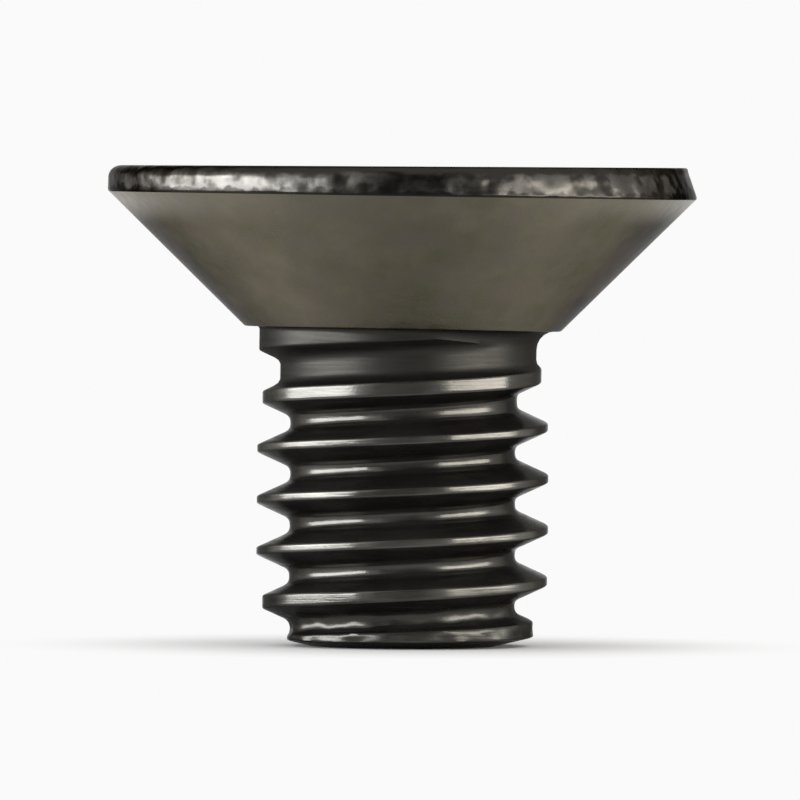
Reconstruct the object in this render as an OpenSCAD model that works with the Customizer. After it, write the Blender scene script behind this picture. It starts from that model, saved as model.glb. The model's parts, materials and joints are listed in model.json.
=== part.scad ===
// Countersunk thread-forming screw, M4 x 0.7, standing on its blunt end with the head up.
// The origin is the centre of the end face and +Z runs along the axis to the head. Sizes in mm.

/* [Overall] */
// Length from the end face to the flat of the head
length = 6.55; // [5.6:0.05:30]

/* [Head] */
// Diameter of the head over its land
head_d = 8.05; // [6.4:0.05:10]
// Height of the straight land round the rim
land_h = 0.38; // [0.25:0.01:0.8]
// Rounding of the upper edge of the rim
rim_r = 0.18; // [0.04:0.01:0.24]
// Included angle of the countersink
cone_angle = 91; // [80:1:100]
// Width of the ledge between the small end of the countersink and the neck
ledge_w = 0.2; // [0.05:0.01:0.4]

/* [Thread] */
// Major diameter, over the crests
thread_d = 3.98; // [3.6:0.01:4.6]
// Rise of the thread in one turn
pitch = 0.7; // [0.5:0.01:0.9]
// Included angle of the thread flanks
thread_angle = 60; // [50:1:70]
// Width of the flat on a full crest
crest_w = 0.08; // [0.03:0.01:0.12]
// Radius at the bottom of the groove
root_r = 0.08; // [0.04:0.01:0.14]
// Turns over which the groove runs out below the head
runout_turns = 1.9; // [0.8:0.1:3]
// How far the lowest crest of the runout stays below full height
crest_dip = 0.135; // [0:0.005:0.15]
// Height of the lowest crest where it passes the +X side
first_crest_z = 0.22; // [0.05:0.01:0.6]

/* [End] */
// Length of the tapered lead
lead_l = 0.9; // [0.3:0.01:2]
// Diameter of the crests at the end of the lead
lead_d = 3.46; // [3.2:0.01:3.9]
// Turns over which the first crest rises from the groove bottom
start_turns = 0.5; // [0.1:0.1:1]
// Diameter of the flat end face
end_face_d = 2.5; // [1.4:0.05:2.8]
// Slope of the bevel round the end face, up from the face
end_bevel_angle = 13; // [8:1:45]

/* [Drive] */
// Span of the cross recess at the flat of the head
recess_d = 4.4; // [3.4:0.05:5]
// Span of the cross recess at the foot of its wings
recess_foot_d = 2.29; // [1.6:0.01:2.6]
// Flare of the outer ends of the wings, from the axis
wing_flare = 26.5; // [22:0.5:35]
// Width of a wing at the flat of the head
wing_w = 1.02; // [0.8:0.01:1.2]
// Width of a wing at its foot
wing_foot_w = 0.72; // [0.5:0.01:0.78]
// Width of the recess core across its slanted sides, at the flat of the head
core_w = 1.92; // [1.6:0.01:2.1]
// Width of the recess core at the foot of the wings
core_foot_w = 1.47; // [1.2:0.01:1.55]
// Slope of the pointed floor of the recess, down from the foot of the wings
floor_angle = 28; // [15:1:35]

/* [Hidden] */
$fn = 96;
// Spare reach of a cutter beyond the surface that it cuts
spare = 0.5;

head_r = head_d / 2;
land_z = length - land_h;
neck_r = thread_d / 2;
cone_end_r = neck_r + ledge_w;
cone_end_z = land_z - (head_r - cone_end_r) / tan(cone_angle / 2);

// Thread section: straight flanks that meet a round groove bottom
flank = thread_angle / 2;
crest_full_r = thread_d / 2;
arc_sweep = 90 - flank;
arc_half = root_r * sin(arc_sweep);
arc_rise = root_r * (1 - cos(arc_sweep));
groove_depth = arc_rise + (pitch / 2 - crest_w / 2 - arc_half) / tan(flank);
groove_full_r = crest_full_r - groove_depth;
// Least height of a flank along the axis, which keeps the rows of the thread in order
flank_min = 0.01;
// Power that moves the lowest crest of the runout towards the formed thread
dip_skew = 1.6;

// Resolution of the thread: steps in a turn, and steps across half of the round groove bottom
turn_steps = 48;
arc_steps = 2;
row_count = 2 + 2 * arc_steps + 1;

// The helix starts below the end face and stops inside the head, where it is cut square
shank_top_z = cone_end_z + ledge_w;
helix_start_z = first_crest_z - 2 * pitch;
helix_turns = ceil((shank_top_z - helix_start_z) / pitch) + 1;
step_count = helix_turns * turn_steps;

recess_depth = (recess_d - recess_foot_d) / 2 / tan(wing_flare);
floor_depth = recess_foot_d / 2 * tan(floor_angle);

// Progress along the runout: 0 at the ledge, 1 where the thread is fully formed
function runout(z) = min(1, max(0, (cone_end_z - z) / (runout_turns * pitch)));

// Radius of the tapered lead, which keeps the crests low near the end
function lead_limit(z) = lead_d / 2 + (crest_full_r - lead_d / 2) * max(0, z) / lead_l;

// Radius of the first crest, which rises from the groove bottom to the lead
function start_limit(z) =
    let (rise = (z - first_crest_z) / (start_turns * pitch) + 1)
    groove_full_r + (lead_limit(first_crest_z) - groove_full_r) * max(0, rise);

// Radius over the crests, for a crest at height z
function crest_r(z) =
    min(lead_limit(z), start_limit(z),
        crest_full_r - crest_dip * pow(sin(180 * pow(runout(z), dip_skew)), 2));

// Radius at the bottom of the groove, for a groove centre at height z
function groove_r(z) = crest_full_r - groove_depth * sin(90 * runout(z));

// Half widths of a crest and of a groove bottom: each is wider where it is cut off nearer the other
function crest_half(z) = crest_w / 2 + min(crest_full_r - crest_r(z), groove_depth - arc_rise) * tan(flank);
function bottom_half(z) =
    let (room = pitch / 2 - max(crest_half(z - pitch / 2), crest_half(z + pitch / 2)))
    max(flank_min, min(room - flank_min, arc_half + (groove_r(z) - groove_full_r) * tan(flank)));

// Points [radius, height] of one tooth and of the groove above it, for a crest at height z
function tooth(z) =
    let (groove_z = z + pitch / 2, spread = bottom_half(groove_z) / sin(arc_sweep))
    concat(
        [for (side = [-1, 1]) [crest_r(z), z + side * crest_half(z)]],
        [for (i = [-arc_steps:arc_steps])
            let (a = arc_sweep * i / arc_steps, top = min(crest_r(z), crest_r(z + pitch)))
            [min(top, groove_r(groove_z) + root_r * (1 - cos(a))), groove_z + spread * sin(a)]]);

// Turns a point [radius, height] about the axis
function turned(p, angle) = [p[0] * cos(angle), p[0] * sin(angle), p[1]];

// Place of a thread point in the list: the row after the last is the next turn's first
function at(step, row) =
    row < row_count ? step * row_count + row : (step + turn_steps) * row_count + row - row_count;

// Rod with the helical thread, before its two ends are cut
module thread_helix() {
    points = [
        for (step = [0:step_count])
            for (p = tooth(helix_start_z + pitch * step / turn_steps))
                turned(p, 360 * step / turn_steps)];
    low_centre = len(points);
    high_centre = low_centre + 1;
    centres = [[0, 0, points[0][2]], [0, 0, points[low_centre - 1][2]]];
    skin = [
        for (step = [0:step_count - 1])
            for (row = [0:row_count - 1])
                if (row < row_count - 1 || step + 1 + turn_steps <= step_count)
                    each [
                        [at(step, row), at(step + 1, row + 1), at(step + 1, row)],
                        [at(step, row), at(step, row + 1), at(step + 1, row + 1)]]];
    last = step_count - turn_steps;
    low_rim = concat(
        [for (step = [0:turn_steps]) at(step, 0)],
        [for (row = [row_count - 1:-1:1]) at(0, row)]);
    high_rim = concat(
        [for (step = [last:step_count]) at(step, row_count - 1)],
        [for (row = [row_count - 2:-1:0]) at(step_count, row)]);
    low_cap = [
        for (i = [0:len(low_rim) - 1])
            [low_centre, low_rim[i], low_rim[(i + 1) % len(low_rim)]]];
    high_cap = [
        for (i = [0:len(high_rim) - 1])
            [high_centre, high_rim[(i + 1) % len(high_rim)], high_rim[i]]];
    polyhedron(concat(points, centres), concat(skin, low_cap, high_cap));
}

// Shank: the thread cut square inside the head and bevelled round the end face
module shank() {
    outer_r = neck_r + spare;
    bevel_h = (outer_r - end_face_d / 2) * tan(end_bevel_angle);
    intersection() {
        thread_helix();
        rotate_extrude()
            polygon([
                [0, 0], [end_face_d / 2, 0], [outer_r, bevel_h],
                [outer_r, shank_top_z], [0, shank_top_z]]);
    }
}

// Head: countersink, land and rounded rim
module head() {
    rotate_extrude() {
        polygon([[0, cone_end_z], [cone_end_r, cone_end_z], [head_r, land_z], [0, land_z]]);
        translate([0, land_z]) square([head_r, land_h - rim_r]);
        translate([0, land_z]) square([head_r - rim_r, land_h]);
        translate([head_r - rim_r, length - rim_r]) circle(rim_r);
    }
}

// Straight slot along X with sides that lean in from the flat of the head to the foot of the wings
module leaning_slot(top_w, foot_w) {
    lean = (top_w - foot_w) / 2 / recess_depth;
    above_half = top_w / 2 + spare * lean;
    below_half = foot_w / 2 - floor_depth * lean;
    rotate([90, 0, 90])
        linear_extrude(recess_d + 2 * spare, center = true)
            polygon([
                [-above_half, spare], [above_half, spare],
                [below_half, -recess_depth - floor_depth], [-below_half, -recess_depth - floor_depth]]);
}

// Cross recess: four wings and a core with slanted sides, inside a flared cone with a pointed floor
module cross_recess() {
    mouth_r = recess_d / 2 + spare * tan(wing_flare);
    translate([0, 0, length])
        intersection() {
            rotate_extrude()
                polygon([
                    [0, -recess_depth - floor_depth], [recess_foot_d / 2, -recess_depth],
                    [mouth_r, spare], [0, spare]]);
            union() {
                for (turn = [0, 90])
                    rotate(turn) leaning_slot(wing_w, wing_foot_w);
                intersection_for (turn = [45, 135])
                    rotate(turn) leaning_slot(core_w, core_foot_w);
            }
        }
}

module screw() {
    color([0.2, 0.19, 0.165])
        difference() {
            union() {
                head();
                shank();
            }
            cross_recess();
        }
}

screw();
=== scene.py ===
"""Black-oxide looks of a countersunk thread-forming screw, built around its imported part."""

import json
import math
from collections import namedtuple

import bpy
import numpy as np
from mathutils import Matrix, Vector


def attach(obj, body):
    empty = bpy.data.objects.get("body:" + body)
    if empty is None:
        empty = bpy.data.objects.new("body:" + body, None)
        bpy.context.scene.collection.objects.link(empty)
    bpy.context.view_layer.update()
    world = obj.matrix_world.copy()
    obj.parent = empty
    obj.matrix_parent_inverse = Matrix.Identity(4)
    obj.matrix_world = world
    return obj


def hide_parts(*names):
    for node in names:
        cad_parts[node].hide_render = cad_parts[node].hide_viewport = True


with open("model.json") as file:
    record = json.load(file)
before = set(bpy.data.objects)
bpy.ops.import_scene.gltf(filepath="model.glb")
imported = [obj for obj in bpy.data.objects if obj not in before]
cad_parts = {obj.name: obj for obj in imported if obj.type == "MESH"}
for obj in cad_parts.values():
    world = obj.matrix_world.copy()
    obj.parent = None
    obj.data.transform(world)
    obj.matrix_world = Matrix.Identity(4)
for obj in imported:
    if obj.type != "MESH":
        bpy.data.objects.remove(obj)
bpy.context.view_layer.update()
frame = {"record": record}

# Sizes of the screw in millimetres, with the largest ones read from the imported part
MM = 0.001
RECORD = frame["record"]
MOUNTS = {mount["name"]: mount for mount in RECORD["mounts"]}
HEAD_R = RECORD["size"]["bbox_m"][0] / MM / 2
LENGTH = RECORD["size"]["bbox_m"][2] / MM
CREST_R = MOUNTS["thread"]["dims"]["r_mm"]
LAND_H = 0.38
RIM_ROUND = 0.18
CONE_ANGLE = math.radians(91)
LEDGE_W = 0.2
PITCH = 0.7
FLANK = math.radians(24.5)
CREST_W = 0.1
ROOT_R = 0.14
RUNOUT_TURNS = 1.9
CREST_DIP = 0.1
DIP_SKEW = 1.26
FIRST_CREST_Z = 0.22
LEAD_L = 0.9
LEAD_R = 1.73
START_TURNS = 0.5
END_FACE_R = 1.25
END_BEVEL = math.radians(13)

LAND_Z = LENGTH - LAND_H
LEDGE_R = CREST_R + LEDGE_W
LEDGE_Z = LAND_Z - (HEAD_R - LEDGE_R) / math.tan(CONE_ANGLE / 2)
ARC_SWEEP = math.pi / 2 - FLANK
ARC_HALF = ROOT_R * math.sin(ARC_SWEEP)
ARC_RISE = ROOT_R * (1 - math.cos(ARC_SWEEP))
GROOVE_DEPTH = ARC_RISE + (PITCH / 2 - CREST_W / 2 - ARC_HALF) / math.tan(FLANK)
GROOVE_R = CREST_R - GROOVE_DEPTH

# Soft edges that rolling and heading leave, in millimetres
CREST_SOFT = 0.035
FLOOR_SOFT = 0.03
RUNOUT_SOFT = 0.18
BEVEL_SOFT = 0.05
NECK_FILLET = 0.05
LEDGE_ROUND = 0.05
LAND_ROUND = 0.06

# Unevenness of the cold-headed head, in millimetres and measured towards its +X side
CONE_SHIFT = 0.025
LAND_SHIFT = -0.02
FOOT_TILT = 0.04
LEDGE_DROP = 0.06
FILLET_GROWTH = 0.2
RIM_LEAN = 0.15
LEAN_POWER = 6

# Sway of the thread's height, and the heights between which the end gets battered, in millimetres
THREAD_SWAY = 0.02
BATTERED_Z = (0.62, 0.36)

# Waves of the surface: size in mm, waves in a turn, radians in a mm of height, and offset in radians
SHANK_WAVES = [(0.004, 2, 1.3, 0.4), (0.003, 5, 2.9, 1.9), (0.002, 11, -4.1, 0.2)]
END_WAVES = [(0.014, 7, 5.0, 0.5), (0.006, 17, -12.0, 1.1), (0.002, 31, 18.0, 2.6)]
CONE_WAVES = [(0.004, 3, 1.7, 2.2), (0.002, 9, -2.3, 0.7), (0.0012, 23, 1.1, 1.4)]
LAND_WAVES = [(0.004, 17, 3.0, 0.3), (0.003, 31, -6.0, 2.0), (0.0012, 53, 9.0, 4.1)]
# Share of the land's height over which the waves of the countersink give way to its own
WAVES_CHANGE = 0.25

# Cross recess, in millimetres and radians
RECESS_R = 2.2
RECESS_FOOT_R = 1.145
WING_FLARE = math.radians(26.5)
WING_W = 1.02
WING_FOOT_W = 0.72
CORE_W = 1.92
CORE_FOOT_W = 1.47
FLOOR_ANGLE = math.radians(28)
RECESS_DEPTH = (RECESS_R - RECESS_FOOT_R) / math.tan(WING_FLARE)
FLOOR_DEPTH = RECESS_FOOT_R * math.tan(FLOOR_ANGLE)
SPARE = 0.5

# Resolution of the mesh: columns round the axis, and rows of the thread as shares of each stretch
COLUMNS = 320
ANGLES = np.arange(COLUMNS) * 2 * math.pi / COLUMNS
CREST_ROWS = np.array([0, 0.35, 0.65, 0.85, 1])
FLANK_ROWS = np.array([0.06, 0.13, 0.3, 0.5, 0.7, 0.87, 0.94, 1])
FLOOR_ROWS = np.array([0.2, 0.45, 0.7, 1])
ROW_GAP = 0.02
END_ROWS = 15
FILLET_ROWS = 6
CONE_ROWS = 16
LAND_ROWS = 6
EDGE_STEPS = 4
RIM_STEPS = 8
RECESS_COLUMNS = 96
SHARP_ANGLE = math.radians(35)
# Height up to which the end has level rows instead of rows along the helix
END_TOP_Z = 0.18

# How far a column faces +X, from -1 to 1, and how much of the uneven side it has
SIDE = np.cos(ANGLES)
UNEVEN = ((1 + SIDE) / 2) ** 2

# Materials of the screw, in slot order
THREAD, CONE, RIM, FACE = range(4)

# Dullness of the shank, with painted shade in its grooves and on the neck under the head: its
# attribute, the heights in millimetres over which it sets in on crests, in grooves and on the lead,
# its distance from a crest, and its level on the lead and in grooves
DULL_AND_SHADE = "dull_and_shade"
DULL_AND_SHADE_CREST_Z = (3.8, 4.1)
DULL_AND_SHADE_GROOVE_Z = (3.4, 3.75)
DULL_LEAD_Z = (0.9, 0.5)
CREST_EDGE = (0.06, 0.14)
LEAD_DULL = 0.55
GROOVE_PAINTED_SHADE = 0.33


def smooth_step(value, low, high):
    share = np.clip((value - low) / (high - low), 0, 1)
    return share * share * (3 - 2 * share)


def smooth_min(a, b, soft):
    """The smaller of a and b, rounded over where they cross."""
    share = np.clip(0.5 + 0.5 * (b - a) / soft, 0, 1)
    return b + (a - b) * share - soft * share * (1 - share)


def ripple(angle, height, waves):
    """The sum of some waves of the surface, in millimetres outwards."""
    return sum(
        size * np.sin(turns * angle + rise * height + offset)
        for size, turns, rise, offset in waves)


def runout(z):
    """Progress along the thread runout: 0 at the ledge, 1 where the thread is fully formed."""
    return np.clip((LEDGE_Z - z) / (RUNOUT_TURNS * PITCH), 0, 1)


def lead_radius(z):
    return LEAD_R + (CREST_R - LEAD_R) * np.maximum(z, 0) / LEAD_L


def crest_radius(z):
    """Radius over the crests, for a crest at z: low at the start, on the lead and in the runout."""
    rise = np.clip((z - FIRST_CREST_Z) / (START_TURNS * PITCH) + 1, 0, None)
    foot = GROOVE_R + CREST_SOFT
    start = foot + (lead_radius(FIRST_CREST_Z) - foot) * rise
    formed = CREST_R - CREST_DIP * np.sin(math.pi * runout(z) ** DIP_SKEW) ** 2
    return smooth_min(start, smooth_min(lead_radius(z), formed, CREST_SOFT), CREST_SOFT)


def groove_floor(z):
    """Radius of the groove's floor, for a groove centre at z: the runout brings it out to the neck."""
    return CREST_R - GROOVE_DEPTH * np.sin(math.pi / 2 * runout(z))


def helix_z(angle):
    """Height of the lowest crest line at an angle, with the slight sway of a rolled thread."""
    return FIRST_CREST_Z + PITCH * angle / (2 * math.pi) - THREAD_SWAY * np.cos(angle)


def thread_place(angle, z):
    """Height over the nearest crest, and the heights of that crest and of the nearest groove."""
    from_crest = z - helix_z(angle)
    from_crest = from_crest - PITCH * np.round(from_crest / PITCH)
    crest_z = z - from_crest
    return from_crest, crest_z, crest_z + np.copysign(PITCH / 2, from_crest)


def shank_radius(angle, z):
    """Radius of the shank: a round-bottomed groove along the helix, soft crests and the end bevel."""
    from_crest, crest_z, groove_z = thread_place(angle, z)
    from_root = PITCH / 2 - np.abs(from_crest)
    arc = ROOT_R - np.sqrt(ROOT_R**2 - np.minimum(from_root, ARC_HALF) ** 2)
    flank = np.maximum(from_root - ARC_HALF, 0) / math.tan(FLANK)
    floor_soft = FLOOR_SOFT + RUNOUT_SOFT * (1 - runout(groove_z))
    groove = -smooth_min(-GROOVE_R - arc - flank, -groove_floor(groove_z), floor_soft)
    radius = smooth_min(groove, crest_radius(crest_z), CREST_SOFT)
    battered = smooth_step(z, *BATTERED_Z)
    radius = radius + ripple(angle, z, SHANK_WAVES) + battered * ripple(angle, z, END_WAVES)
    return smooth_min(radius, END_FACE_R + z / math.tan(END_BEVEL), BEVEL_SOFT)


def dullness_and_shade(angle, z):
    """0 on the burnished crests and 1 on the neck that the dies didn't reach, where its darker colour
    is also painted shade under the head; between elsewhere, and in the grooves only painted shade.
    """
    from_crest, crest_z, groove_z = thread_place(angle, z)
    on_crest = smooth_step(crest_z, *DULL_AND_SHADE_CREST_Z)
    in_groove = GROOVE_PAINTED_SHADE + (1 - GROOVE_PAINTED_SHADE) * smooth_step(groove_z, *DULL_AND_SHADE_GROOVE_Z)
    on_neck = on_crest + (in_groove - on_crest) * smooth_step(np.abs(from_crest), *CREST_EDGE)
    return np.maximum(on_neck, LEAD_DULL * smooth_step(z, *DULL_LEAD_Z))


class Skin:
    """Points and faces of one closed surface, gathered ring by ring."""

    def __init__(self):
        self.points, self.faces, self.finishes = [], [], []

    def add(self, radius, angle, z):
        """Adds points given by radius, angle and height, and returns their numbers."""
        first = len(self.points)
        across = np.broadcast_arrays(radius * np.cos(angle), radius * np.sin(angle), z)
        self.points.extend(np.stack(across, axis=-1).reshape(-1, 3).tolist())
        return np.arange(first, len(self.points))

    def ring(self, radius, z):
        return self.add(radius, ANGLES, z)

    def face(self, corners, finish):
        """Adds a face, without the corners that fall together."""
        kept = [c for i, c in enumerate(corners) if c != corners[i - 1]]
        if len(kept) > 2:
            self.faces.append(kept)
            self.finishes.append(finish)

    def join(self, low, high, finish):
        for i in range(COLUMNS):
            j = (i + 1) % COLUMNS
            self.face([low[i], low[j], high[j], high[i]], finish)

    def close(self, ring, z, finish, up):
        """Closes a ring with a fan round a point on the axis."""
        centre = self.add(0.0, 0.0, z)[0]
        for i in range(COLUMNS):
            j = (i + 1) % COLUMNS
            self.face([centre, ring[i], ring[j]] if up else [centre, ring[j], ring[i]], finish)

    def mesh(self, name):
        made = bpy.data.meshes.new(name)
        made.from_pydata((np.array(self.points) * MM).tolist(), [], self.faces)
        made.polygons.foreach_set("material_index", self.finishes)
        made.update()
        return made


def half_pitch_rows(crest_z, groove_z):
    """Distances of the mesh rows from crests to the next grooves: they follow both flank edges."""
    edge = CREST_W / 2 + (CREST_R - crest_radius(crest_z)) * math.tan(FLANK)
    edge = np.minimum(edge, PITCH / 2 - 2 * ROW_GAP)[:, None]
    foot = PITCH / 2 - ARC_HALF - (groove_floor(groove_z) - GROOVE_R) * math.tan(FLANK)
    foot = np.clip(foot[:, None], edge + ROW_GAP, PITCH / 2 - ROW_GAP)
    stretches = [
        edge * CREST_ROWS,
        edge + (foot - edge) * FLANK_ROWS,
        foot + (PITCH / 2 - foot) * FLOOR_ROWS]
    return np.concatenate(stretches, axis=1)


def thread_rows(angle, turns):
    """Heights of the mesh rows at an angle, from the groove below the first turn upwards."""
    crests = helix_z(angle) + PITCH * turns
    above = half_pitch_rows(crests, crests + PITCH / 2)
    below = half_pitch_rows(crests, crests - PITCH / 2)
    offsets = np.concatenate([-below[:, ::-1], above[:, 1:-1]], axis=1)
    return (crests[:, None] + offsets).ravel()


def add_thread(skin, z_low, z_high):
    """Adds the thread between a level ring and one at z_high, with mesh rows that follow the helix."""
    low = skin.ring(shank_radius(ANGLES, z_low), z_low)
    high = skin.ring(shank_radius(ANGLES, z_high), z_high)
    first = math.floor((z_low - FIRST_CREST_Z) / PITCH) - 2
    last = math.ceil((z_high.max() - FIRST_CREST_Z) / PITCH) + 1
    turns = np.arange(first, last + 1)
    columns = []
    for i, angle in enumerate(ANGLES):
        z = thread_rows(angle, turns)
        inside = (z > z_low) & (z < z_high[i])
        numbers = np.where(z <= z_low, low[i], high[i])
        numbers[inside] = skin.add(shank_radius(angle, z[inside]), angle, z[inside])
        columns.append(numbers)
    turn_rows = len(columns[0]) // len(turns)
    one_pitch_up = np.concatenate([columns[0][turn_rows:], np.full(turn_rows, high[0])])
    for here, there in zip(columns, columns[1:] + [one_pitch_up]):
        for i in range(len(here) - 1):
            skin.face([here[i], there[i], there[i + 1], here[i + 1]], THREAD)
    return low, high


def rounded_corner(before, corner, after, radius, steps):
    """Points of an arc that rounds a corner of a profile of (radius, height) points."""
    corner = np.array(corner)
    inward, outward = (np.array(p) - corner for p in (before, after))
    inward, outward = inward / np.linalg.norm(inward), outward / np.linalg.norm(outward)
    half = math.acos(np.clip(inward @ outward, -1, 1)) / 2
    middle = (inward + outward) / np.linalg.norm(inward + outward)
    centre = corner + middle * radius / math.sin(half)
    start, stop = (corner + side * radius / math.tan(half) - centre for side in (inward, outward))
    sweep = math.pi - 2 * half
    shares = np.linspace(0, 1, steps + 1)
    return [
        centre + (start * math.sin((1 - s) * sweep) + stop * math.sin(s * sweep)) / math.sin(sweep)
        for s in shares]


def add_end(skin, ring):
    """Closes the screw below a level ring at END_TOP_Z with the bevelled end."""
    for z in END_TOP_Z * np.linspace(1, 0, END_ROWS)[1:]:
        lower = skin.ring(shank_radius(ANGLES, z), z)
        skin.join(lower, ring, THREAD)
        ring = lower
    skin.close(ring, 0.0, THREAD, up=False)


def add_neck(skin, ring, fillet, ledge_z):
    """Adds the fillet between the thread and the ledge, and returns the ring at the ledge."""
    neck = shank_radius(ANGLES, ledge_z - fillet)
    for turn in np.linspace(0, math.pi / 2, FILLET_ROWS):
        z = ledge_z - fillet * (1 - math.sin(turn))
        higher = skin.ring(neck + fillet * (1 - math.cos(turn)), z)
        skin.join(ring, higher, THREAD)
        ring = higher
    return ring


def head_shift(z):
    """How far the head's unevenness moves a ring at height z: outwards, and up."""
    on_cone = np.clip((z - LEDGE_Z) / (LAND_Z - LEDGE_Z), 0, 1)
    on_land = np.clip((z - LAND_Z) / LAND_H, 0, 1)
    drop = LEDGE_DROP * UNEVEN
    ledge_out = CONE_SHIFT * SIDE - drop * math.tan(CONE_ANGLE / 2)
    out = ledge_out + (LAND_SHIFT * SIDE - ledge_out) * on_cone
    out = out - RIM_LEAN * UNEVEN * on_land * (1 - on_land**LEAN_POWER)
    up = -drop * (1 - on_cone) - FOOT_TILT * SIDE * on_cone * (1 - on_land)
    dented = min(1, on_land / WAVES_CHANGE)
    waves = (1 - dented) * ripple(ANGLES, z, CONE_WAVES) + dented * ripple(ANGLES, z, LAND_WAVES)
    return out + waves, up


def add_head(skin, ring):
    """Adds the ledge, the countersink, the land, the rounded rim and the flat of the head."""
    ledge, foot, rim = (LEDGE_R, LEDGE_Z), (HEAD_R, LAND_Z), (HEAD_R, LENGTH)
    ledge_arc = rounded_corner((0, LEDGE_Z), ledge, foot, LEDGE_ROUND, EDGE_STEPS)
    foot_arc = rounded_corner(ledge, foot, rim, LAND_ROUND, EDGE_STEPS)
    rim_arc = rounded_corner(foot, rim, (0, LENGTH), RIM_ROUND, RIM_STEPS)
    cone = np.linspace(ledge_arc[-1], foot_arc[0], CONE_ROWS)[1:]
    land = np.linspace(foot_arc[-1], rim_arc[0], LAND_ROWS)[1:-1]
    strips = [
        (ledge_arc, CONE), (cone, CONE), (foot_arc[1:], RIM), (land, RIM), (rim_arc, RIM)]
    for points, finish in strips:
        for radius, z in points:
            out, up = head_shift(z)
            higher = skin.ring(radius + out, z + up)
            skin.join(ring, higher, finish)
            ring = higher
    skin.close(ring, LENGTH, FACE, up=True)


def screw_skin():
    """The closed surface of the screw without its drive recess."""
    skin = Skin()
    ledge_z = LEDGE_Z - LEDGE_DROP * UNEVEN
    fillet = NECK_FILLET + FILLET_GROWTH * UNEVEN
    low, high = add_thread(skin, END_TOP_Z, ledge_z - fillet - ROW_GAP)
    add_end(skin, low)
    add_head(skin, add_neck(skin, high, fillet, ledge_z))
    return skin


def new_object(name, mesh):
    made = bpy.data.objects.new(name, mesh)
    bpy.context.scene.collection.objects.link(made)
    return made


def revolved(name, profile, segments):
    """Closed solid of a profile of (radius, height) points that starts and ends on the axis."""
    points, faces = [], []
    turns = [2 * math.pi * i / segments for i in range(segments)]
    inner = profile[1:-1]
    for radius, z in inner:
        points += [(radius * math.cos(t) * MM, radius * math.sin(t) * MM, z * MM) for t in turns]
    for row in range(len(inner) - 1):
        for i in range(segments):
            j = (i + 1) % segments
            faces.append([row * segments + i, row * segments + j,
                          (row + 1) * segments + j, (row + 1) * segments + i])
    for row, (_, z), up in ((0, profile[0], False), (len(inner) - 1, profile[-1], True)):
        points.append((0, 0, z * MM))
        for i in range(segments):
            j = (i + 1) % segments
            edge = [row * segments + i, row * segments + j]
            faces.append([len(points) - 1] + (edge if up else edge[::-1]))
    mesh = bpy.data.meshes.new(name)
    mesh.from_pydata(points, [], faces)
    return new_object(name, mesh)


def leaning_slot(name, top_w, foot_w, turn):
    """Straight slot through the axis, with sides that lean in towards its foot."""
    lean = (top_w - foot_w) / 2 / RECESS_DEPTH
    top = top_w / 2 + SPARE * lean
    foot = foot_w / 2 - (FLOOR_DEPTH + SPARE) * lean
    top_z = LENGTH + SPARE
    foot_z = LENGTH - RECESS_DEPTH - FLOOR_DEPTH - SPARE
    outline = [(-top, top_z), (-foot, foot_z), (foot, foot_z), (top, top_z)]
    reach = RECESS_R + 2 * SPARE
    points = [(x, y, z) for x in (-reach, reach) for y, z in outline]
    faces = [[3, 2, 1, 0], [4, 5, 6, 7]]
    faces += [[i, (i + 1) % 4, (i + 1) % 4 + 4, i + 4] for i in range(4)]
    mesh = bpy.data.meshes.new(name)
    mesh.from_pydata((np.array(points) * MM).tolist(), [], faces)
    mesh.transform(Matrix.Rotation(turn, 4, "Z"))
    return new_object(name, mesh)


def combine(base, other, operation):
    """Changes base by a boolean with other, and removes other."""
    modifier = base.modifiers.new("combine", "BOOLEAN")
    modifier.object = other
    modifier.operation = operation
    modifier.solver = "EXACT"
    bpy.context.view_layer.update()
    evaluated = base.evaluated_get(bpy.context.evaluated_depsgraph_get())
    mesh = bpy.data.meshes.new_from_object(evaluated)
    base.modifiers.clear()
    base.data = mesh
    bpy.data.objects.remove(other)


def recess_cutter():
    """Solid of the cross recess: wings and core inside a flared cone with a pointed floor."""
    cross = leaning_slot("recess", WING_W, WING_FOOT_W, 0)
    combine(cross, leaning_slot("wing", WING_W, WING_FOOT_W, math.pi / 2), "UNION")
    core = leaning_slot("core", CORE_W, CORE_FOOT_W, math.pi / 4)
    combine(core, leaning_slot("core_side", CORE_W, CORE_FOOT_W, 3 * math.pi / 4), "INTERSECT")
    combine(cross, core, "UNION")
    foot_z = LENGTH - RECESS_DEPTH
    mouth = (RECESS_R + SPARE * math.tan(WING_FLARE), LENGTH + SPARE)
    profile = [(0, foot_z - FLOOR_DEPTH), (RECESS_FOOT_R, foot_z), mouth, (0, LENGTH + SPARE)]
    combine(cross, revolved("flared", profile, RECESS_COLUMNS), "INTERSECT")
    cross.data.polygons.foreach_set("material_index", [FACE] * len(cross.data.polygons))
    return cross


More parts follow.
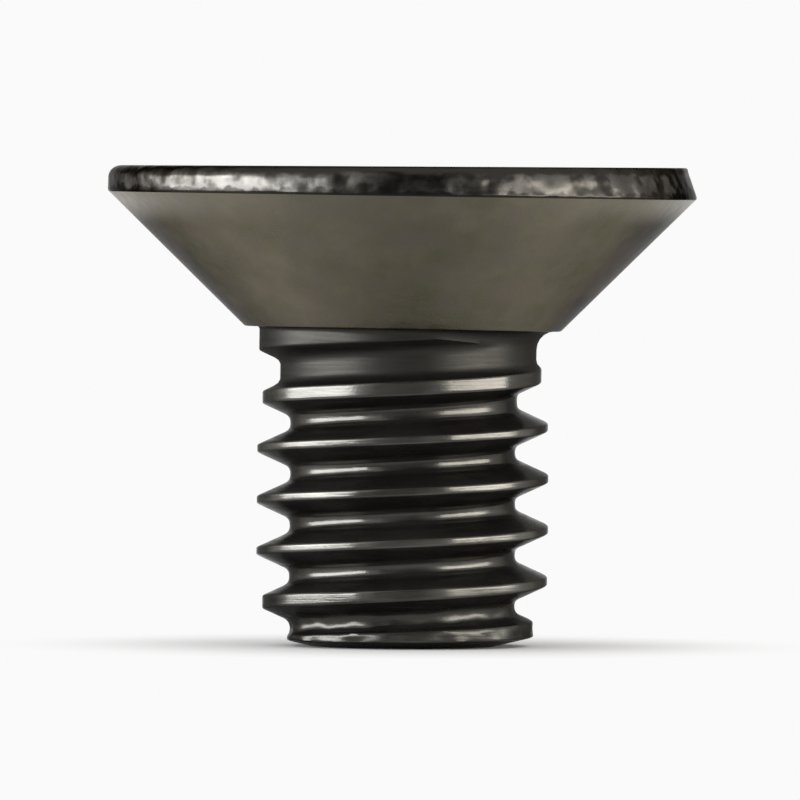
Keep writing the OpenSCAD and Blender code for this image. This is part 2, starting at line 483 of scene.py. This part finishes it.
class Nodes:
    """Short ways to add and link the nodes of a tree."""

    def __init__(self, tree):
        self.tree = tree
        tree.nodes.clear()

    def add(self, kind, inputs=None, **settings):
        node = self.tree.nodes.new("ShaderNode" + kind)
        for key, value in settings.items():
            setattr(node, key, value)
        for key, value in (inputs or {}).items():
            if isinstance(value, bpy.types.NodeSocket):
                self.tree.links.new(value, node.inputs[key])
            else:
                node.inputs[key].default_value = value
        return node

    def math(self, operation, a, b=0.0):
        return self.add("Math", {0: a, 1: b}, operation=operation).outputs[0]

    def noise(self, vector, scale, detail):
        values = {"Vector": vector, "Scale": scale, "Detail": detail, "Roughness": 0.55}
        return self.add("TexNoise", values).outputs["Fac"]

    def span(self, value, low, high, to_low=0.0, to_high=1.0):
        """Maps low..high to to_low..to_high, with ends held and a smooth start and stop."""
        values = {
            "Value": value, "From Min": low, "From Max": high, "To Min": to_low, "To Max": to_high}
        return self.add("MapRange", values, interpolation_type="SMOOTHSTEP").outputs["Result"]

    def blend(self, share, a, b):
        """Mixes two colours. A Mix node's colour sockets share their names, so they go by number."""
        mix = self.add("Mix", {0: share}, data_type="RGBA")
        for socket, value in ((mix.inputs[6], a), (mix.inputs[7], b)):
            if isinstance(value, bpy.types.NodeSocket):
                self.tree.links.new(value, socket)
            else:
                socket.default_value = (*value, 1.0)
        return mix.outputs[2]


# Kinds of black oxide: a dark and a pale linear colour, the tool streaks in a millimetre along each
# axis, the strength of the grain, and the least and the greatest roughness
Oxide = namedtuple("Oxide", "dark pale streaks grain rough")
THREAD_OXIDE = Oxide((0.08, 0.077, 0.069), (0.134, 0.129, 0.117), (0.8, 0.8, 22), 0.3, (0.13, 0.27))
CONE_OXIDE = Oxide((0.142, 0.134, 0.09), (0.192, 0.172, 0.128), (9, 9, 0.6), 0.5, (0.27, 0.38))
RIM_OXIDE = Oxide((0.065, 0.061, 0.055), (0.13, 0.122, 0.112), (3, 3, 6), 0.15, (0.22, 0.38))
FACE_OXIDE = Oxide((0.09, 0.084, 0.07), (0.15, 0.138, 0.115), (14, 1, 1), 0.5, (0.36, 0.5))

# Noise of all of them: features in a millimetre, the ranges that are used, and heights in millimetres
BLOTCH_SCALE = 1.1
BLOTCH_RANGE = (0.3, 0.7)
GRAIN_SCALE = 26.0
GRAIN_HEIGHT = 0.004
STREAK_WEIGHT = 1.5
MATT_RANGE = (0.6, 1.4)

# Thread: colour of its dulled parts, which is also painted shade in the grooves and under the head,
# their extra roughness, tint of slanting reflections, share of metal
DULL_AND_SHADE_COLOUR = (0.039, 0.0372, 0.034)
DULL_ROUGHER = 0.26
THREAD_EDGE = 0.12
THREAD_METAL = 0.89

# Countersink: browner patches, and tints of slanting reflections, low down and under the land
PATCH_COLOUR = (0.17, 0.146, 0.118)
PATCH_SCALE = 2.4
PATCH_RANGE = (0.4, 0.62)
PATCH_SHARE = 0.6
CONE_EDGE = (0.3, 0.31, 0.35)
BARE_EDGE = (1.0, 1.0, 1.0)
BARE_Z = (LAND_Z - 0.45, LAND_Z - 0.05)

# Land: where it is worn, in millimetres, with a ragged edge, a scraped -X end and broad dents; its
# dark colour is painted shade at the foot and a painted dark reflection at the rounded rim
RIM_DARK_AND_EDGE_SHADE = (0.04, 0.037, 0.033)
RIM_EDGE = 0.3
RAGGED_SCALE = 5.0
RAGGED = 0.12
PAINTED_FOOT_SHADE_Z = (LAND_Z + 0.03, LAND_Z + 0.08)
PAINTED_RIM_REFLECTION_Z = (LENGTH - 0.07, LENGTH - 0.13)
WORN_SCALE = 3.0
WORN_SHIFT = (4, 7, 3)
WORN_RANGE = (0.4, 0.56)
SCRAPED_X = (-0.75 * HEAD_R, -0.92 * HEAD_R)
SCRAPED = 0.12
DENT_TURN = math.radians(4)
DENT_SCALE = 2.8
DENT_DEPTH = 0.042
DENT_FADE_X = (HEAD_R, 0.85 * HEAD_R)
DENT_LEAST = 0.1

# Flat of the head and the recess: tint of slanting reflections
FACE_EDGE = 0.2


def new_material(name):
    material = bpy.data.materials.new(name)
    material.use_nodes = True
    return material, Nodes(material.node_tree)


def place_in_mm(nodes, stretch=(1, 1, 1), shift=(0, 0, 0), turn=0.0):
    """The place on the screw in millimetres, stretched along each axis, turned about Z and shifted."""
    place = nodes.add("TexCoord").outputs["Object"]
    scale = [s / MM for s in stretch]
    values = {"Vector": place, "Location": shift, "Rotation": (0, 0, turn), "Scale": scale}
    return nodes.add("Mapping", values).outputs["Vector"]


def grey(level):
    return level, level, level, 1.0


def oxide(nodes, kind):
    """Black oxide: blotchy colour, roughness, and a normal with fine grain and tool streaks."""
    place = place_in_mm(nodes)
    blotch = nodes.noise(place, BLOTCH_SCALE, 5.0)
    streak = nodes.noise(place_in_mm(nodes, kind.streaks), 1.0, 3.0)
    fine = nodes.noise(place, GRAIN_SCALE, 3.0)
    colour = nodes.blend(nodes.span(blotch, *BLOTCH_RANGE), kind.dark, kind.pale)
    matt = nodes.span(nodes.math("ADD", blotch, streak), *MATT_RANGE)
    rough = nodes.span(matt, 0, 1, *kind.rough)
    height = nodes.math("ADD", fine, nodes.math("MULTIPLY", streak, STREAK_WEIGHT))
    values = {"Height": height, "Strength": kind.grain, "Distance": GRAIN_HEIGHT * MM}
    return colour, rough, nodes.add("Bump", values).outputs["Normal"]


def steel(nodes, colour, rough, normal, edge, metallic=1.0):
    """Ends a material as blackened metal, with edge as the tint of its slanting reflections."""
    shader = nodes.add("BsdfPrincipled", {
        "Base Color": colour,
        "Roughness": rough,
        "Metallic": metallic,
        "Specular Tint": edge,
        "Normal": normal})
    nodes.add("OutputMaterial", {"Surface": shader.outputs["BSDF"]})


def thread_finish():
    """Oiled thread with painted shade in its grooves and on the neck under the head, darker on the
    lead, and rougher on the neck.
    """
    material, nodes = new_material("oiled_thread")
    colour, rough, normal = oxide(nodes, THREAD_OXIDE)
    dull_and_shade = nodes.add("Attribute", attribute_name=DULL_AND_SHADE).outputs["Fac"]
    # The darker colour is painted shade in the grooves and partly painted shade on the neck under the
    # head
    colour = nodes.blend(dull_and_shade, colour, DULL_AND_SHADE_COLOUR)
    rough = nodes.math("ADD", rough, nodes.span(dull_and_shade, GROOVE_PAINTED_SHADE, 1, 0, DULL_ROUGHER))
    steel(nodes, colour, rough, normal, grey(THREAD_EDGE), THREAD_METAL)
    return material


def cone_finish():
    """Matt countersink, with a bare edge under the land that stays pale where it is seen aslant."""
    material, nodes = new_material("matt_countersink")
    colour, rough, normal = oxide(nodes, CONE_OXIDE)
    place = place_in_mm(nodes)
    patches = nodes.span(nodes.noise(place, PATCH_SCALE, 2.0), *PATCH_RANGE)
    colour = nodes.blend(nodes.math("MULTIPLY", patches, PATCH_SHARE), colour, PATCH_COLOUR)
    height = nodes.add("SeparateXYZ", {0: place}).outputs["Z"]
    edge = nodes.blend(nodes.span(height, *BARE_Z), CONE_EDGE, BARE_EDGE)
    steel(nodes, colour, rough, normal, edge)
    return material


def land_wear_and_painted_edges(nodes, place):
    """How far the land is worn, from 0 to 1: its edges aren't, so they keep painted shade at the foot
    and a painted dark reflection at the rim, and the foot's edge is more ragged.
    """
    axes = nodes.add("SeparateXYZ", {0: place}).outputs
    ragged = nodes.math("SUBTRACT", nodes.noise(place, RAGGED_SCALE, 2.0), 0.5)
    ragged = nodes.math("MULTIPLY", ragged, RAGGED)
    height = nodes.math("ADD", axes["Z"], ragged)
    tilt = nodes.math("MULTIPLY", axes["X"], FOOT_TILT / HEAD_R)
    over_foot = nodes.math("ADD", nodes.math("ADD", height, ragged), tilt)
    # Painted shade at the foot and a painted dark reflection at the rim: the land stays dark outside
    # these heights
    clear_of_painted_edges = nodes.math(
        "MULTIPLY", nodes.span(over_foot, *PAINTED_FOOT_SHADE_Z), nodes.span(height, *PAINTED_RIM_REFLECTION_Z))
    worn = nodes.noise(place_in_mm(nodes, shift=WORN_SHIFT, turn=DENT_TURN), WORN_SCALE, 2.0)
    scraped = nodes.span(axes["X"], *SCRAPED_X, 0, SCRAPED)
    worn = nodes.span(nodes.math("ADD", worn, scraped), *WORN_RANGE)
    return nodes.math("MULTIPLY", worn, clear_of_painted_edges)


def land_dents(nodes, place, normal):
    """The normal with broad dents, which are shallower where the land faces -X and +X."""
    x = nodes.add("SeparateXYZ", {0: place}).outputs["X"]
    dents = nodes.noise(place_in_mm(nodes, turn=DENT_TURN), DENT_SCALE, 1.0)
    depth = nodes.span(nodes.math("ABSOLUTE", x), *DENT_FADE_X, DENT_LEAST, 1.0)
    values = {"Height": dents, "Strength": depth, "Distance": DENT_DEPTH * MM, "Normal": normal}
    return nodes.add("Bump", values).outputs["Normal"]


def rim_finish():
    """Land that is worn and dented between a rounded rim with a painted dark reflection and a foot
    with painted shade.
    """
    material, nodes = new_material("worn_rim")
    colour, rough, normal = oxide(nodes, RIM_OXIDE)
    place = place_in_mm(nodes)
    colour = nodes.blend(land_wear_and_painted_edges(nodes, place), RIM_DARK_AND_EDGE_SHADE, colour)
    steel(nodes, colour, rough, land_dents(nodes, place, normal), grey(RIM_EDGE))
    return material


def face_finish():
    material, nodes = new_material("head_face")
    steel(nodes, *oxide(nodes, FACE_OXIDE), grey(FACE_EDGE))
    return material


def mark_dull_and_shade(mesh):
    """Stores on each point of the mesh how matt and dark the shank is there, the dark partly a painted
    shade.
    """
    places = np.empty(len(mesh.vertices) * 3)
    mesh.vertices.foreach_get("co", places)
    x, y, z = places.reshape(-1, 3).T / MM
    stored = mesh.attributes.new(DULL_AND_SHADE, "FLOAT", "POINT")
    stored.data.foreach_set("value", dullness_and_shade(np.arctan2(y, x), z))


def make_screw():
    screw = new_object("screw_body", screw_skin().mesh("screw_body"))
    combine(screw, recess_cutter(), "DIFFERENCE")
    for finish in (thread_finish, cone_finish, rim_finish, face_finish):
        screw.data.materials.append(finish())
    mark_dull_and_shade(screw.data)
    screw.data.shade_smooth()
    screw.data.set_sharp_from_angle(angle=SHARP_ANGLE)
    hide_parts("screw")
    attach(screw, "root")


# Stage, in metres: white paper, two soft boxes, and cards that only the metal's reflections show,
# which paint dark reflections and the head's shadow into them
WHITE = (0.96, 0.955, 0.955)
PAPER = 0.83
FLOOR_HALF = 0.05
# Distances from the screw over which the paper fades into the background, straight and in reflections
SEEN_FADE = (0.0022, 0.006)
MIRRORED_FADE = (0.005, 0.02)
# Height and aim of the soft boxes
BOX_HEIGHT = 0.14
BOX_AIM = (0, 0, 0.003)
# Shares of a card's half size over which its level changes from the middle's to the rim's
CARD_FADE = (0.2, 1.0)


def make_world():
    world = bpy.data.worlds.new("studio")
    bpy.context.scene.world = world
    world.use_nodes = True
    nodes = Nodes(world.node_tree)
    back = nodes.add("Background", {"Color": (*WHITE, 1), "Strength": 1.0})
    nodes.add("OutputWorld", {"Surface": back.outputs[0]})


def stage_sheet(name, half_w, half_h, material):
    """A flat rectangle that belongs to the studio and not to the screw."""
    mesh = bpy.data.meshes.new(name)
    corners = [
        (-half_w, -half_h, 0), (half_w, -half_h, 0), (half_w, half_h, 0), (-half_w, half_h, 0)]
    mesh.from_pydata(corners, [], [[0, 1, 2, 3]])
    mesh.materials.append(material)
    sheet = new_object(name, mesh)
    return sheet


def make_floor():
    """White paper that shows the shadow near the screw and fades into the background further out."""
    material, nodes = new_material("paper")
    paper = nodes.add("BsdfDiffuse", {"Color": grey(PAPER)})
    glow = nodes.add("Emission", {"Color": (*WHITE, 1), "Strength": 1.0})
    place = nodes.add("TexCoord").outputs["Object"]
    away = nodes.add("VectorMath", {0: place}, operation="LENGTH").outputs["Value"]
    rays = nodes.add("LightPath").outputs
    mirrored = nodes.math("MAXIMUM", rays["Is Glossy Ray"], rays["Is Transmission Ray"])
    mirrored = nodes.math("MULTIPLY", mirrored, nodes.span(away, *MIRRORED_FADE))
    seen = nodes.math("MULTIPLY", rays["Is Camera Ray"], nodes.span(away, *SEEN_FADE))
    share = nodes.math("MAXIMUM", seen, mirrored)
    mix = nodes.add("MixShader", {0: share, 1: paper.outputs[0], 2: glow.outputs[0]})
    nodes.add("OutputMaterial", {"Surface": mix.outputs[0]})
    stage_sheet("floor", FLOOR_HALF, FLOOR_HALF, material)


def facing(place, aim):
    """The rotation of a lamp, a card or the camera at a place, so that it faces its aim."""
    return (Vector(aim) - Vector(place)).to_track_quat("-Z", "Y")


def make_flag(name, place, aim, half_w, half_h, middle, rim):
    """A card that only reflections show, which paints dark reflections and shade into what the metal
    reflects, with a level at its middle and one at its rim.
    """
    material, nodes = new_material(name)
    values = {"Vector": nodes.add("TexCoord").outputs["Object"], "Scale": (1 / half_w, 1 / half_h, 0)}
    spot = nodes.add("Mapping", values).outputs["Vector"]
    away = nodes.add("VectorMath", {0: spot}, operation="LENGTH").outputs["Value"]
    level = nodes.span(away, *CARD_FADE, middle, rim)
    card = nodes.add("Emission", {"Color": grey(1.0), "Strength": level})
    nodes.add("OutputMaterial", {"Surface": card.outputs[0]})
    flag = stage_sheet(name, half_w, half_h, material)
    flag.location = place
    flag.rotation_euler = facing(place, aim).to_euler()
    for ray in ("camera", "diffuse", "shadow", "transmission"):
        setattr(flag, "visible_" + ray, False)


def make_soft_box(name, place, width, power, colour):
    lamp = bpy.data.lights.new(name, "AREA")
    lamp.shape = "RECTANGLE"
    lamp.size = width
    lamp.size_y = BOX_HEIGHT
    lamp.energy = power
    lamp.color = colour
    box = new_object(name, lamp)
    box.location = place
    box.rotation_euler = facing(place, BOX_AIM).to_euler()


# Camera: a long lens level with the head, aimed at the middle of the photograph, in pixels and mm
PX_PER_MM = 73.2
IMAGE_PX = 800
AXIS_PX = 402.9
END_PX = 646.0
CAMERA_BACK = 190
CAMERA_RISE = 3.1
CAMERA_ROLL = math.radians(0.3)
SENSOR_MM = 36
CLIP_START = 0.01


def make_camera():
    data = bpy.data.cameras.new("camera")
    data.sensor_width = SENSOR_MM
    data.lens = SENSOR_MM * CAMERA_BACK * PX_PER_MM / IMAGE_PX
    data.clip_start = CLIP_START
    camera = new_object("camera", data)
    aim = Vector((IMAGE_PX / 2 - AXIS_PX, 0, END_PX - IMAGE_PX / 2)) / PX_PER_MM * MM
    camera.location = aim + Vector((0, -CAMERA_BACK, CAMERA_RISE)) * MM
    rolled = facing(camera.location, aim).to_matrix() @ Matrix.Rotation(CAMERA_ROLL, 3, "Z")
    camera.rotation_euler = rolled.to_euler()
    bpy.context.scene.camera = camera


make_screw()
make_world()
make_floor()
make_soft_box(
    "left_box", place=(-0.367, -0.098, 0.04), width=0.53, power=2.4, colour=(0.93, 0.965, 1.0))
make_soft_box(
    "right_box", place=(0.357, -0.167, 0.04), width=0.51, power=1.5, colour=(1.0, 0.975, 0.91))
# Glowing card seen only in reflections: a painted dark reflection across the front of the screw
make_flag(
    "painted_front_reflection", place=(0.0095, -0.07, 0.048), aim=(0, 0, 0.048),
    half_w=0.042, half_h=0.06, middle=0.04, rim=0.3)
# Glowing card seen only in reflections: a painted dark reflection of the floor in front of the screw
make_flag(
    "painted_floor_reflection", place=(0, -0.031, 0.0002), aim=(0, -0.031, -0.1),
    half_w=0.036, half_h=0.0245, middle=0.08, rim=0.45)
# Glowing card seen only in reflections: a painted shadow of the head on the floor under it
make_flag(
    "painted_head_shadow", place=(0, -0.0034, 0.0001), aim=(0, -0.0034, 0.1),
    half_w=0.0042, half_h=0.0032, middle=0.5, rim=0.62)
make_camera()
bpy.context.scene.view_settings.view_transform = "Standard"
